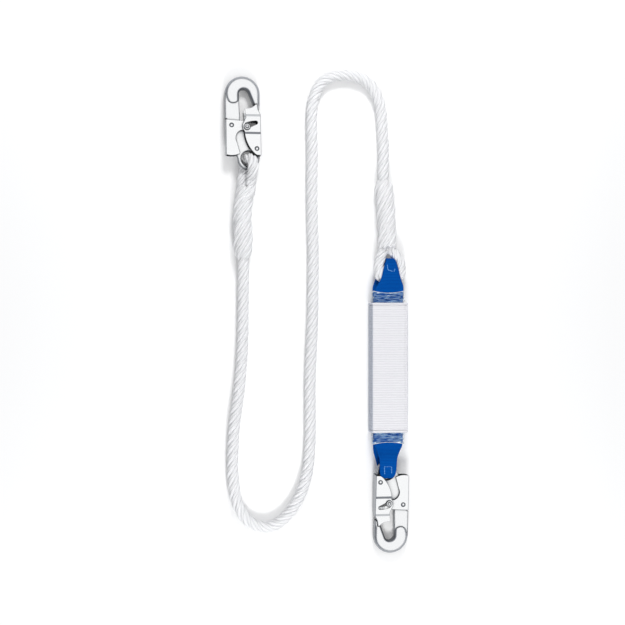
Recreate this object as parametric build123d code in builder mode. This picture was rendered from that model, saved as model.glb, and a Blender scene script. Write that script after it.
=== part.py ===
from build123d import *

import math
import os

# Shock absorbing lanyard, 1.9 m of rope, webbing and hooks, laid out on a flat surface.
#
# A laid rope with a spliced eye at each end joins an anchor snap hook to a tear webbing absorber,
# and the absorber carries a second, identical snap hook for the harness. The rope lies in an S.
#
# Frame: millimetres, +Z up, Z = 0 is the surface that the lanyard lies on. The origin is midway
# between the two hooks, which are the same hook turned half a turn about Z. +Y runs from the
# harness hook towards the anchor hook, and +X from the anchor hook towards the absorber.
#
# Hook frame, used by every function of the snap hook: the origin is the centre of the bow on the
# plate's middle plane, +Y points at the crown of the bow, the spine is on -X and the gate on +X.

# --- where the hooks lie --------------------------------------------------------------------------
hook_x = 98.5  # each bow centre is this far from the origin along X
hook_y = 288.0  # and this far along Y
eye_height = 18.0  # about the height of the hook's eye, which lies on what passes through it
floor_clear = 0.03  # gap between the crown of the bow and the surface

# --- snap hook: forged body -----------------------------------------------------------------------
bow_radius = 22.6  # outside of the bow
bow_half = 6.0  # half thickness of the bow
plate_half = 4.0  # half thickness of the spine, neck and eye
bow_bevel = 3.0  # bevel round the outside of the bow
mouth_bevel = 2.2  # bevel round the inside of the bow
mouth_radius = 6.7  # crown of the mouth, about this centre
mouth_x = 1.8
mouth_y = -0.6
beak_x = 14.2  # inner corner of the beak
beak_y = -14.2
lip_x = 19.0  # root of the lip that stands outside the gate
lip_y = -13.4
lip_length = 7.6
lip_thick = 1.5
lip_draft = 0.2  # the bow draws in this much down to the lip
lip_taper = 0.9  # and the lip this much more down to its end
pad_radius = 8.7  # round end of the bow's raised face, on the spine
pad_x = -12.5
pad_y = -3.5
spine_in = -3.4  # the spine's inner edge at the neck
spine_step_y = -33.0  # the lever's seat starts below this
spine_step = 1.9  # how far the spine steps in under the lever
shoulder_y = -43.0  # flat top of the neck, behind the gate
shoulder_x = 9.6
heel_y = -42.0  # the neck draws in below this to let the lever swing
waist_x = -14.6  # left edge of the neck at the lock spring
neck_x = 15.4  # right edge of the neck, just above the boss
neck_y = -66.0
lug_radius = 3.9  # boss of the gate's rivet
eye_x = 7.2
eye_y = -85.0
eye_hole = 10.0  # radius of the hole that the rope or webbing passes through
eye_rim = 4.0  # width of the ring round it
eye_round = 1.5

# --- snap hook: rivets and lock pin ---------------------------------------------------------------
gate_pivot = (17.0, -73.0)
lever_pivot = (-15.0, -42.0)
pin_at = (4.6, -44.5)  # the lock pin, with the gate closed
gate_swing = 20.0  # degrees that the gate opens
lever_press = 10.0  # degrees that the lever is pressed for that
rivet_radius = 2.2
rivet_head = 3.1
rivet_dome = 1.5
pin_radius = 2.2
pin_head = 4.2
pin_rim = 0.9
pin_dome = 1.0
pin_dimple = 2.6
running = 0.05  # clearance of a rivet in its holes
window_gap = 0.35  # clearance of the lock pin in the gate's window and in the neck's notch
window_steps = 4  # stops of the pin that the window is drawn round

# --- snap hook: gate and lock lever, folded from sheet --------------------------------------------
sheet_gap = 0.2  # clearance between neighbouring layers
plate_gap = 0.25  # and between the plate and the lever's thumb part
gate_sheet = 1.5
lever_sheet = 1.4
fold_round = 1.0  # outside of the folded corners
joggle_rise = 3.2  # length of a joggle's slope along Y
gate_joggle = 1.2  # the rivet end stands this much proud of the window part
tip_joggle = 0.7  # and the window part this much proud of the tip
gate_joggle_y = -51.0
tip_joggle_y = -27.6
lever_joggle = 0.65
lever_joggle_y = -60.0

# The gate's outline, from the web over the tip and down the inner edge to the foot.
gate_side_x = 22.8  # outside of the gate's web
gate_foot_y = -81.3
lip_gap = 0.4  # clearance of the gate inside the lip
lip_lean = 1.0  # the web leans in this much beside the lip
gate_tip_y = -14.8
tip_end_x = 16.4
tip_hollow = (12.4, -18.3)
tip_inner = (7.5, -20.0)
tip_corner = (2.2, -20.4)
gate_waist = (3.8, -32.0)
lobe_start = (0.9, -38.5)
window_lobe = 5.4  # the edge bulges this far round the lock pin
lobe_end = (1.6, -50.0)
gate_belly = (5.6, -67.0)
gate_heel = (14.6, -79.6)
gate_toe_x = 17.4

# The lever's outline, from the web over the pin's lobe and down the inner edge of its thumb part.
lever_side_x = -22.4
lever_head_y = -34.8
lever_foot_y = -80.0
lever_brow = (0.6, -36.2)
pin_lobe = 3.8  # the lever's end is this round about the lock pin
lobe_lean = 1.0  # its upper edge meets the lobe this far past the pin
thumb_start = (-3.0, -48.4)
thumb_waist = (-9.4, -55.0)
thumb_side = (-8.6, -64.0)
thumb_heel = (-4.6, -78.6)
thumb_toe = (-12.0, -81.0)

# --- snap hook: springs ---------------------------------------------------------------------------
gate_wire = 0.4
gate_coil = 3.1  # mean radius, round the gate's rivet
gate_turns = 2.5
gate_coil_pitch = 0.95
neck_leg = 6.0
web_leg = 8.0
leg_clear = 0.4  # the coil starts this far above the plate, because its legs slope
lock_wire = 0.4
lock_coil = 2.0
lock_turns = 5
lock_spring_y = -62.0
pocket_depth = 6.0
pocket_clear = 0.35
spring_seat = 0.1  # gap between the spring's end and what it pushes on

# --- rope -----------------------------------------------------------------------------------------
rope_radius = 8.0
eye_rope = 6.5  # the rope is squeezed to this radius in its eyes
splice_radius = 11.6
splice_full = 0.34  # a splice is thickest this share of its length along
splice_start = 10.4  # its radius where the two legs of an eye meet
first_height = 10.6  # height of the rope's centre where it leaves a splice
second_height = 8.6
leg_half = 4.4  # each leg of an eye enters its splice this far from the middle
leg_in = 9.0  # and reaches this far into it
bend_share = 0.45  # a bend of the rope takes this share of the shorter run beside it
whole_bend = 0.9999  # a U is two such bends, each this share of half its width

anchor_bend = 11.6  # centreline radius round the hook's eye
anchor_lean = 20.0  # degrees that the plane of that eye leans over
anchor_straight = 8.0  # its legs run straight this far from the eye's bar
anchor_leg_bend = 22.0
anchor_neck = 28.5  # from the eye's bar to where the legs meet
anchor_mouth_side = -0.2
anchor_mouth_z = 13.4

link_side = 1.5  # the eye at the absorber lies this far to the side of the pack's middle
link_neck = 50.0  # and its centre this far from the pack
link_bend = 15.0  # its centreline radius
link_straight = 6.0
link_leg_bend = 16.0
link_mouth_run = 24.8  # from its centre to where the legs meet
link_mouth_side = -0.4

# The rope's route on the surface, in X and Y, from the anchor splice to the absorber splice.
route = [
    (-99.6, 75.8), (-99.5, 51.0), (-100.2, 13.4), (-101.0, -25.6), (-103.1, -60.7),
    (-107.0, -99.7), (-113.0, -136.1), (-115.4, -175.1), (-115.1, -214.1),
    (-108.2, -250.4), (-86.8, -275.6), (-54.7, -277.0), (-27.6, -247.9), (-12.8, -208.9),
    (-9.1, -171.2), (-8.9, -129.6), (-9.6, -90.6), (-8.0, -47.7), (-5.7, -3.5),
    (-5.6, 40.7), (-5.2, 84.9), (-6.7, 130.4), (-7.3, 173.3), (-6.8, 214.9),
    (-8.0, 253.9), (-6.4, 282.5), (7.9, 310.4), (37.8, 317.9), (68.5, 309.8),
    (83.8, 282.5), (86.2, 251.3), (88.7, 214.9), (87.4, 178.5),
]

# --- absorber -------------------------------------------------------------------------------------
pack_x = 95.5
pack_length = 170.0
pack_ease = 1.05  # room over the folded webbing inside the film, above and below
side_ease = 0.65  # and at each side
pack_round = 4.2
cover_thick = 1.2
film_thick = 0.5
film_gap = 0.15
film_corner = 1.2
film_flap = 15.7  # length of the film past each end of the pack
film_height = 8.6  # height of the shrunk film over the webbing's tail
flap_clear = 1.5  # the loops start to open this far past the film

webbing_width = 38.0
loop_thick = 3.0
tail_length = 32.0  # how far a loop's tail reaches into the pack
ply_gap = 0.15  # between plies that lie on each other
soft_gap = 0.3  # clearance between soft pieces that meet
nose_width = 16.0  # a loop is gathered to this width along the eye that it passes through
nose_point = 5.3  # half width of the link loop's very end
shoulder_share = 0.65  # of its half width is left where it reaches that eye
link_reach = 55.9  # from the pack to the link loop's nose
harness_neck = 38.2  # from the pack to the bar of the harness hook's eye
harness_wrap = 17.1  # from that bar to the harness loop's nose
harness_half = 6.5  # half of the inside height of the harness loop
harness_slope = 10.5  # length along which the harness loop opens
harness_drop = 0.37  # the harness loop's middle is this far below the bar

tear_thick = 2.2
tear_pitch = 2.55
tear_layers = 3  # layers of tear webbing on each side of the tails
tear_room = 5.0  # between the folded tear webbing and each end of the pack
strap_thick = 2.2
strap_pitch = 2.6
strap_layers = 2
strap_room = 4.0  # between the folded backup strap and each loop's tail

overrun = 2.0  # how far a cut runs past what it cuts
same = 0.01  # two measures this near each other are equal

# --- what follows from these sizes ----------------------------------------------------------------
# Half heights of the hook's layers, from the plate outwards.
thumb_in = plate_half + plate_gap
thumb_out = thumb_in + lever_sheet
lever_in = thumb_in + lever_joggle
lever_out = lever_in + lever_sheet
tip_in = lever_out + sheet_gap
tip_out = tip_in + gate_sheet
window_in = tip_in + tip_joggle
window_out = window_in + gate_sheet
cheek_in = window_in + gate_joggle
cheek_out = cheek_in + gate_sheet

# Each hook leans on its crown and on what passes through its eye.
bar_y = eye_y - eye_hole - eye_rim / 2
crown_y = bow_radius - bow_bevel
hook_tilt = math.degrees(math.asin((eye_height - bow_half - floor_clear) / (crown_y - bar_y)))
hook_z = (
    bow_half * math.cos(math.radians(hook_tilt)) + crown_y * math.sin(math.radians(hook_tilt)) + floor_clear
)
anchor_place = Location((-hook_x, hook_y, hook_z), (-hook_tilt, 0, 0))
harness_place = Location((0, 0, 0), (0, 0, 180)) * anchor_place
anchor_bar = (anchor_place * Location((eye_x, bar_y, 0))).position

# The pack holds its webbing, hangs from the harness hook's bar, and carries the rope's eye.
wall = cover_thick + film_gap + film_thick
first_layer = loop_thick + 2 * ply_gap + tear_thick / 2
pack_mid = first_layer + (tear_layers - 1) * tear_pitch + tear_thick / 2 + pack_ease + wall
pack_height = 2 * pack_mid
pack_width = webbing_width + 2 * (side_ease + wall)
pack_top = pack_length + harness_neck - anchor_bar.Y
pack_bottom = pack_top - pack_length
link_x = pack_x + link_side
link_y = pack_top + link_neck
link_z = pack_mid

# Where the legs of each eye meet, and where each splice ends.
anchor_mouth = (anchor_bar.X + anchor_mouth_side, anchor_bar.Y - anchor_neck, anchor_mouth_z)
anchor_splice_end = (*route[0], first_height)
link_mouth = (link_x + link_mouth_side, link_y + link_mouth_run, link_z)
link_splice_end = (*route[-1], first_height)


# ================================ snap hook ======================================================
def turn_about(point, centre, degrees):
    """A point of the plate's plane, turned about a centre."""
    turned = Vector(point[0] - centre[0], point[1] - centre[1]).rotate(Axis.Z, degrees)
    return (centre[0] + turned.X, centre[1] + turned.Y)


def hook_body():
    """Forged body: a bevelled bow with its beak and lip, a thinner spine and neck, and the eye."""
    throat_turn = math.atan2(beak_y - mouth_y, beak_x - mouth_x)
    throat_turn += math.acos(mouth_radius / math.hypot(beak_x - mouth_x, beak_y - mouth_y))
    throat = (mouth_x + mouth_radius * math.cos(throat_turn), mouth_y + mouth_radius * math.sin(throat_turn))
    mouth_left, pad_left = mouth_x - mouth_radius, pad_x - pad_radius
    pad_side_y = pad_y - math.sqrt(pad_radius**2 - (mouth_left - pad_x) ** 2)
    lip_out = bow_radius - lip_draft
    lip_end = lip_y - lip_length
    seat_x = -bow_radius + spine_step
    ring_radius = eye_hole + eye_rim

    with BuildPart() as body:
        with BuildSketch():
            with BuildLine():
                ThreePointArc((-bow_radius, 0), (0, bow_radius), (bow_radius, 0))
                Polyline(
                    (bow_radius, 0), (lip_out, lip_y), (lip_out - lip_taper, lip_end),
                    (lip_out - lip_taper - lip_thick, lip_end), (lip_x, lip_y), (beak_x, beak_y), throat,
                )
                ThreePointArc(throat, (mouth_x, mouth_y + mouth_radius), (mouth_left, mouth_y))
                Line((mouth_left, mouth_y), (mouth_left, pad_side_y))
                ThreePointArc((mouth_left, pad_side_y), (pad_x, pad_y - pad_radius), (pad_left, pad_y))
                Line((pad_left, pad_y), (-bow_radius, 0))
            make_face()
        extrude(amount=bow_half, both=True)
        rims = body.faces().filter_by(Axis.Z).edges().filter_by(GeomType.CIRCLE)
        chamfer(rims.filter_by(lambda rim: abs(rim.radius - bow_radius) < same), length=bow_bevel)
        rims = body.faces().filter_by(Axis.Z).edges().filter_by(GeomType.CIRCLE)
        chamfer(rims.filter_by(lambda rim: abs(rim.radius - mouth_radius) < same), length=mouth_bevel)

        with BuildSketch():
            with BuildLine():
                Polyline(
                    (-bow_radius, 0), (-bow_radius, spine_step_y), (seat_x, spine_step_y), (seat_x, heel_y),
                    (waist_x, lock_spring_y), (eye_x - ring_radius, eye_y), (eye_x + ring_radius, eye_y),
                    (gate_pivot[0] + lug_radius, gate_pivot[1]), (neck_x, neck_y), (shoulder_x, shoulder_y),
                    (spine_in, shoulder_y), (mouth_left, mouth_y), (-bow_radius, 0),
                )
            make_face()
            with Locations(gate_pivot):
                Circle(lug_radius)
            with Locations((eye_x, eye_y)):
                Circle(eye_hole + eye_rim / 2, mode=Mode.SUBTRACT)
            with BuildLine():
                pressed = turn_about(pin_at, lever_pivot, lever_press)
                Line(pin_at, (pressed[0], pressed[1] + 2 * pin_radius))
            trace(line_width=2 * (pin_radius + window_gap), mode=Mode.SUBTRACT)
            with Locations(pin_at):
                Circle(pin_radius + window_gap, mode=Mode.SUBTRACT)
        extrude(amount=plate_half, both=True)

        with BuildSketch(Plane.XZ.offset(-eye_y)):
            with Locations((eye_x + eye_hole + eye_rim / 2, 0)):
                RectangleRounded(eye_rim, 2 * plate_half, eye_round)
        revolve(axis=Axis((eye_x, eye_y, 0), (0, 0, 1)))
        with Locations(gate_pivot, lever_pivot):
            Hole(rivet_radius + running)

        with BuildSketch(Plane.YZ.offset(waist_x + pocket_depth)):
            with Locations((lock_spring_y, 0)):
                Circle(lock_coil + lock_wire + pocket_clear)
        extrude(amount=-2 * pocket_depth, mode=Mode.SUBTRACT)
    return body


def folded(plan, heights):
    """A plan in XY cut to stepped heights: heights are (y, half height) from one end to the other."""
    with BuildPart() as block:
        with BuildSketch():
            add(plan)
        extrude(amount=2 * cheek_out, both=True)
        with BuildSketch(Plane.YZ):
            with BuildLine():
                Polyline(*heights, *[(y, -z) for y, z in reversed(heights)], close=True)
            make_face()
        extrude(amount=4 * bow_radius, both=True, mode=Mode.INTERSECT)
    return block


def gate_heights(cheek, window, tip):
    return [
        (gate_foot_y - overrun, cheek), (gate_joggle_y - joggle_rise, cheek), (gate_joggle_y, window),
        (tip_joggle_y - joggle_rise, window), (tip_joggle_y, tip), (gate_tip_y + overrun, tip),
    ]


def gate_side(inset):
    """Outer edge of the gate in plan, from its foot to its tip, or the inside of its web."""
    side, tip_x = gate_side_x - inset, lip_x - lip_gap - inset
    lip_end = lip_y - lip_length - lip_gap
    return [(side, gate_foot_y), (side, tip_joggle_y), (tip_x + lip_lean, lip_end), (tip_x, gate_tip_y)]


def gate_plan():
    """Gate seen from above."""
    with BuildSketch() as plan:
        with BuildLine():
            Polyline(*gate_side(0), (tip_end_x, gate_tip_y))
            ThreePointArc((tip_end_x, gate_tip_y), tip_hollow, tip_inner)
            Polyline(tip_inner, tip_corner, gate_waist, lobe_start)
            ThreePointArc(lobe_start, (pin_at[0] - window_lobe, pin_at[1]), lobe_end)
            ThreePointArc(lobe_end, gate_belly, gate_heel)
            Polyline(gate_heel, (gate_toe_x, gate_foot_y), (gate_side_x, gate_foot_y))
        make_face()
    return plan.sketch


def inside_plan(web_side, far_x):
    """Everything between a web's inside and a line beyond the far edge of its cheeks."""
    foot, tip = web_side[0], web_side[-1]
    with BuildSketch() as plan:
        with BuildLine():
            Polyline(
                (foot[0], foot[1] - overrun), *web_side, (tip[0], tip[1] + overrun),
                (far_x, tip[1] + overrun), (far_x, foot[1] - overrun), close=True,
            )
        make_face()
    return plan.sketch


def gate():
    """Gate folded from sheet: a web outside and two joggled cheeks, each with the lock pin's window.

    The window is a slot along which the pin slides once the lever is pressed, and it is eased along
    the pin's path when lever and gate turn together.
    """
    core = folded(inside_plan(gate_side(gate_sheet), -bow_radius), gate_heights(cheek_in, window_in, tip_in))
    shell = folded(gate_plan(), gate_heights(cheek_out, window_out, tip_out))
    shares = [step / window_steps for step in range(window_steps + 1)]
    unlocked = turn_about(pin_at, lever_pivot, lever_press)
    slot = [turn_about(unlocked, gate_pivot, -share * gate_swing) for share in shares]
    eased = [
        turn_about(turn_about(pin_at, lever_pivot, share * lever_press), gate_pivot, -share * gate_swing)
        for share in shares
    ]

    with BuildPart() as piece:
        add(shell.part)
        rims = piece.edges().filter_by(lambda edge: abs(edge.center().Z) > tip_in)
        outer = rims.filter_by(lambda edge: edge.center().X > lip_x - lip_gap - same)
        fillet(outer.filter_by(lambda edge: edge.center().Y > gate_foot_y + same), radius=fold_round)
        add(core.part, mode=Mode.SUBTRACT)
        for path in (slot, eased):
            with BuildSketch():
                with Locations(*path):
                    Circle(pin_radius + window_gap)
                make_hull()
            extrude(amount=2 * cheek_out, both=True, mode=Mode.SUBTRACT)
        with Locations(gate_pivot):
            Hole(rivet_radius + running)
    return piece


def lever_plan():
    """Lock lever seen from above."""
    side = lever_side_x
    with BuildSketch() as plan:
        with BuildLine():
            Polyline(
                (side, lever_foot_y), (side, lever_head_y), lever_brow,
                (pin_at[0] + lobe_lean, pin_at[1] + pin_lobe), (pin_at[0], pin_at[1] - pin_lobe), thumb_start,
            )
            ThreePointArc(thumb_start, thumb_waist, thumb_side)
            Line(thumb_side, thumb_heel)
            ThreePointArc(thumb_heel, thumb_toe, (side, lever_foot_y))
        make_face()
        with Locations(pin_at):
            Circle(pin_lobe)
    return plan.sketch


def lever_heights(upper, thumb):
    return [
        (lever_foot_y - overrun, thumb), (lever_joggle_y - joggle_rise, thumb), (lever_joggle_y, upper),
        (lever_head_y + overrun, upper),
    ]


def lever():
    """Lock lever folded from sheet: a web down the spine and two ears that carry the lock pin."""
    web_inside = lever_side_x + lever_sheet
    core = folded(
        inside_plan([(web_inside, lever_foot_y), (web_inside, lever_head_y)], bow_radius),
        lever_heights(lever_in, thumb_in),
    )
    shell = folded(lever_plan(), lever_heights(lever_out, thumb_out))
    with BuildPart() as piece:
        add(shell.part)
        corner = piece.edges().filter_by(lambda edge: edge.center().X < lever_side_x + same)
        fillet(corner.filter_by(lambda edge: abs(edge.center().Z) > thumb_in), radius=fold_round)
        add(core.part, mode=Mode.SUBTRACT)
        with BuildSketch():
            with Locations(lever_pivot, pin_at):
                Circle(rivet_radius + running)
        extrude(amount=2 * cheek_out, both=True, mode=Mode.SUBTRACT)
    return piece


def turned_pin(centre, half_profile):
    """Pin turned about a centre of the plate's plane, the same at both ends."""
    with BuildPart() as piece:
        with BuildSketch(Plane.XZ.offset(-centre[1])):
            with Locations((centre[0], 0)):
                add(half_profile)
        revolve(axis=Axis((centre[0], centre[1], 0), (0, 0, 1)))
        mirror(about=Plane.XY)
    return piece


def cap_middle(radius, rise):
    """Half-way point of a round cap's outline, from its rim to its pole on the axis."""
    ball = (radius**2 + rise**2) / (2 * rise)
    return (radius / 2, rise - ball + math.sqrt(ball**2 - radius**2 / 4))


def rivet(pivot, grip):
    """Domed rivet through both sides of a sheet piece. The grip is half its length between heads."""
    shoulder = cap_middle(rivet_head, rivet_dome)
    top = grip + rivet_dome
    with BuildSketch() as profile:
        with BuildLine():
            Polyline((0, top), (0, 0), (rivet_radius, 0), (rivet_radius, grip), (rivet_head, grip))
            ThreePointArc((rivet_head, grip), (shoulder[0], grip + shoulder[1]), (0, top))
        make_face()
    return turned_pin(pivot, profile.sketch)


def lock_pin():
    """Pin through the lever, the neck's notch and both windows, with a dimpled head at each end."""
    seat = window_out + sheet_gap
    rim = seat + pin_rim
    top = rim + pin_dome
    hollow = cap_middle(pin_dimple, pin_dome)
    with BuildSketch() as profile:
        with BuildLine():
            Polyline(
                (0, rim), (0, 0), (pin_radius, 0), (pin_radius, seat), (pin_head, seat), (pin_head, rim),
                ((pin_head + pin_dimple) / 2, top), (pin_dimple, top),
            )
            ThreePointArc((pin_dimple, top), (hollow[0], top - hollow[1]), (0, rim))
        make_face()
    return turned_pin(pin_at, profile.sketch)


def wound(path, wire):
    """Round wire swept along its whole path."""
    with BuildPart() as piece:
        with BuildSketch(Plane(origin=path @ 0, z_dir=path % 0)):
            Circle(wire)
        sweep(path=path)
    return piece


def gate_spring():
    """Torsion spring round the gate's rivet: one leg pushes the web out, the other lies on the neck."""
    rise = gate_turns * gate_coil_pitch
    with BuildLine(Plane(origin=(gate_pivot[0], gate_pivot[1], plate_half + leg_clear + gate_wire))) as path:
        coil = Helix(pitch=gate_coil_pitch, height=rise, radius=gate_coil, lefthand=True)
        Line(coil @ 0, (coil @ 0) - (coil % 0) * neck_leg)
        Line(coil @ 1, (coil @ 1) + (coil % 1) * web_leg)
    return wound(path.wires()[0], gate_wire)


def lock_spring():
    """Compression spring in the neck's pocket, pushing the lever's web away from the spine."""
    outer = lever_side_x + lever_sheet + spring_seat + lock_wire
    inner = waist_x + pocket_depth - spring_seat - lock_wire
    with BuildLine() as path:
        Helix(
            pitch=(inner - outer) / lock_turns, height=inner - outer, radius=lock_coil,
            center=(outer, lock_spring_y, 0), direction=(1, 0, 0),
        )
    return wound(path.wires()[0], lock_wire)


# ================================ rope ===========================================================
def corner_radii(points):
    """The largest arc that each corner of a route leaves room for."""
    radii = []
    for before, corner, after in zip(points, points[1:], points[2:]):
        run_in, run_out = Vector(*corner) - Vector(*before), Vector(*after) - Vector(*corner)
        half_turn = math.radians(run_in.get_angle(run_out)) / 2
        radii.append(bend_share * min(run_in.length, run_out.length) / math.tan(half_turn))
    return radii


def rope_tube(points, radii, radius):
    with BuildPart() as tube:
        with BuildLine() as path:
            FilletPolyline(*points, radius=radii)
        way = path.wires()[0]
        with BuildSketch(Plane(origin=way @ 0, z_dir=way % 0)):
            Circle(radius)
        sweep(path=way)
    return tube


def splice(start, end):
    """Tapered splice, from the crotch of an eye to where the bare rope leaves it."""
    length = (Vector(*end) - Vector(*start)).length
    axis = (Vector(*end) - Vector(*start)).normalized()
    side = Vector(0, 0, 1).cross(axis).normalized()
    with BuildPart() as piece:
        with BuildSketch(Plane(origin=start, x_dir=axis, z_dir=side)):
            with BuildLine():
                Line((0, 0), (0, splice_start))
                ThreePointArc((0, splice_start), (splice_full * length, splice_radius), (length, rope_radius))
                Polyline((length, rope_radius), (length, 0), (0, 0))
            make_face()
        revolve(axis=Axis(start, axis))
    return piece


def anchor_eye():
    """The rope's eye round the anchor hook's eye bar, in a plane that leans over."""
    lean = math.radians(anchor_lean)
    up = Vector(math.sin(lean), 0, math.cos(lean)) * anchor_bend
    bar = anchor_bar
    mouth = Vector(*anchor_mouth)
    forward = (Vector(*anchor_splice_end) - mouth).normalized() * leg_in
    spread = Vector(leg_half, 0, leg_half / 2)
    back, over = Vector(0, anchor_straight, 0), Vector(0, anchor_bend, 0)
    points = [
        mouth + forward - spread, bar - up - back, bar - up + over,
        bar + up + over, bar + up - back, mouth + forward + spread,
    ]
    bend = anchor_bend * whole_bend
    bends = [anchor_leg_bend, bend, bend, anchor_leg_bend]
    return rope_tube([tuple(point) for point in points], bends, eye_rope)


def link_eye():
    """The rope's eye that holds the absorber's loop, lying flat."""
    mouth = Vector(*link_mouth)
    forward = (Vector(*link_splice_end) - mouth).normalized() * leg_in
    spread = Vector(leg_half, 0, 0)
    points = [
        mouth + forward - spread, (link_x - link_bend, link_y + link_straight, link_z),
        (link_x - link_bend, link_y - link_bend, link_z), (link_x + link_bend, link_y - link_bend, link_z),
        (link_x + link_bend, link_y + link_straight, link_z), mouth + forward + spread,
    ]
    bend = link_bend * whole_bend
    points = [tuple(Vector(*point)) for point in points]
    return rope_tube(points, [link_leg_bend, bend, bend, link_leg_bend], eye_rope)


def rope():
    """The bare rope, from splice to splice."""
    heights = [first_height, second_height] + [rope_radius] * (len(route) - 4) + [second_height, first_height]
    points = [(x, y, z) for (x, y), z in zip(route, heights)]
    return rope_tube(points, corner_radii(points), rope_radius)


# ================================ absorber =======================================================
def loop(lower, upper, plan):
    """Webbing loop. Lower and upper are its inside, each from the tail to the turn, as (Y, Z)."""
    outward = math.copysign(1, lower[-1][0] - lower[0][0])
    half = (upper[-1][1] - lower[-1][1]) / 2
    with BuildSketch(Plane.YZ) as inside:
        with BuildLine():
            Polyline(*lower)
            ThreePointArc(lower[-1], (lower[-1][0] + outward * half, lower[-1][1] + half), upper[-1])
            Polyline(*reversed(upper))
            Line(upper[0], lower[0])
        make_face()
    with BuildPart() as strap:
        with BuildSketch(Plane.YZ) as side:
            add(inside.sketch_local)
            offset(amount=loop_thick, kind=Kind.INTERSECTION)
            add(inside.sketch_local, mode=Mode.SUBTRACT)
        extrude(amount=pack_x + webbing_width)
        with BuildSketch():
            with BuildLine():
                Polyline(*[(x - half, y) for x, y, half in plan],
                         *[(x + half, y) for x, y, half in reversed(plan)], close=True)
            make_face()
        extrude(amount=4 * pack_height, mode=Mode.INTERSECT)
    return strap


def link_loop():
    """Loop at the rope's end of the pack, gathered where it turns inside the rope's eye."""
    half = eye_rope + soft_gap
    flap_y, tail_y = pack_top + film_flap + flap_clear, pack_top - tail_length
    nose_y = pack_top + link_reach
    turn_y = nose_y - half - loop_thick
    straight_y = link_y - link_bend - eye_rope / 2
    ply = ply_gap / 2
    lower, upper = [
        [
            (tail_y, pack_mid + side * ply), (flap_y, pack_mid + side * ply),
            (straight_y, link_z + side * half), (turn_y, link_z + side * half),
        ]
        for side in (-1, 1)
    ]
    wide = webbing_width / 2
    plan = [
        (pack_x, tail_y, wide), (pack_x, flap_y, wide), (link_x, link_y - link_bend, shoulder_share * wide),
        (link_x, link_y, nose_width / 2), (link_x, nose_y + overrun, nose_point),
    ]
    return loop(lower, upper, plan)


def harness_loop():
    """Loop at the harness hook's end of the pack, gathered through the hook's eye."""
    flap_y, tail_y = pack_bottom - film_flap - flap_clear, pack_bottom + tail_length
    bar_at, middle_z = -anchor_bar.Y, anchor_bar.Z - harness_drop
    nose_y = bar_at - harness_wrap
    turn_y = nose_y + harness_half + loop_thick
    straight_y = flap_y - harness_slope
    low, high = middle_z - harness_half, middle_z + harness_half
    ply = ply_gap / 2
    lower = [(tail_y, pack_mid - ply), (flap_y, pack_mid - ply), (straight_y, low), (turn_y, low)]
    upper = [(tail_y, pack_mid + ply), (flap_y, pack_mid + ply), (straight_y, high), (turn_y, high)]
    wide = webbing_width / 2
    eye = -anchor_bar.X
    plan = [
        (pack_x, tail_y, wide), (pack_x, flap_y, wide), (eye, straight_y, shoulder_share * wide),
        (eye, bar_at - eye_rim, nose_width / 2), (eye, nose_y - overrun, nose_width / 2),
    ]
    return loop(lower, upper, plan)


def cover():
    """Woven sleeve round the pack."""
    with BuildPart() as piece:
        with BuildSketch(Plane.XZ.offset(-pack_top)):
            with Locations((pack_x, pack_mid)):
                RectangleRounded(pack_width, pack_height, pack_round)
                RectangleRounded(
                    pack_width - 2 * cover_thick, pack_height - 2 * cover_thick, pack_round - cover_thick,
                    mode=Mode.SUBTRACT,
                )
        extrude(amount=pack_length)
    return piece


def film_block(inset):
    """Outside of the film, or its inside when the inset is its wall."""
    width = pack_width - 2 * (cover_thick + film_gap + inset)
    height = pack_height - 2 * (cover_thick + film_gap + inset)
    corner = pack_round - cover_thick - film_gap - inset
    flat = film_height - 2 * inset
    with BuildPart() as block:
        with BuildSketch(Plane.XZ.offset(-pack_top)):
            with Locations((pack_x, pack_mid)):
                RectangleRounded(width, height, corner)
        extrude(amount=pack_length)
        for end, out in ((pack_top, film_flap), (pack_bottom, -film_flap)):
            with BuildSketch(Plane.XZ.offset(-end)):
                with Locations((pack_x, pack_mid)):
                    RectangleRounded(width, height, corner)
            with BuildSketch(Plane.XZ.offset(-(end + out))):
                with Locations((pack_x, pack_mid)):
                    RectangleRounded(width, flat, film_corner)
            loft()
    return block


def film():
    """Clear shrunk sleeve inside the cover, flattened over the webbing past each end."""
    inside = film_block(film_thick)
    with BuildPart() as piece:
        add(film_block(0).part)
        add(inside.part, mode=Mode.SUBTRACT)
    return piece


def folded_strap(thick, pitch, layers, length, first_z):
    """Flat webbing folded to and fro in the pack: the layers lie a pitch apart and turn at each end."""
    middle = (pack_top + pack_bottom) / 2
    near, far = middle + length / 2, middle - length / 2
    with BuildPart() as piece:
        with BuildSketch(Plane.YZ.offset(pack_x)):
            with BuildLine() as path:
                for layer in range(layers):
                    z = first_z + layer * pitch
                    start, end = (near, far) if layer % 2 == 0 else (far, near)
                    Line((start, z), (end, z))
                    if layer < layers - 1:
                        out = math.copysign(abs(pitch) / 2, end - start)
                        ThreePointArc((end, z), (end + out, z + pitch / 2), (end, z + pitch))
            trace(line_width=thick)
        extrude(amount=webbing_width / 2, both=True)
    return piece


def tear_webbing(side):
    """Folded tear webbing above the tails, with side 1, or below them, with side -1."""
    return folded_strap(
        tear_thick, side * tear_pitch, tear_layers, pack_length - 2 * tear_room, pack_mid + side * first_layer
    )


def backup_strap():
    """Strap folded up between the two tails, which pulls straight when the webbing has torn."""
    first_z = pack_mid - (strap_layers - 1) * strap_pitch / 2
    length = pack_length - 2 * (tail_length + strap_room)
    return folded_strap(strap_thick, strap_pitch, strap_layers, length, first_z)


# ================================ assembly =======================================================
def save(piece, node):
    piece.part.label = node
    export_step(piece.part, f"parts/{node}.step")


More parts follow.
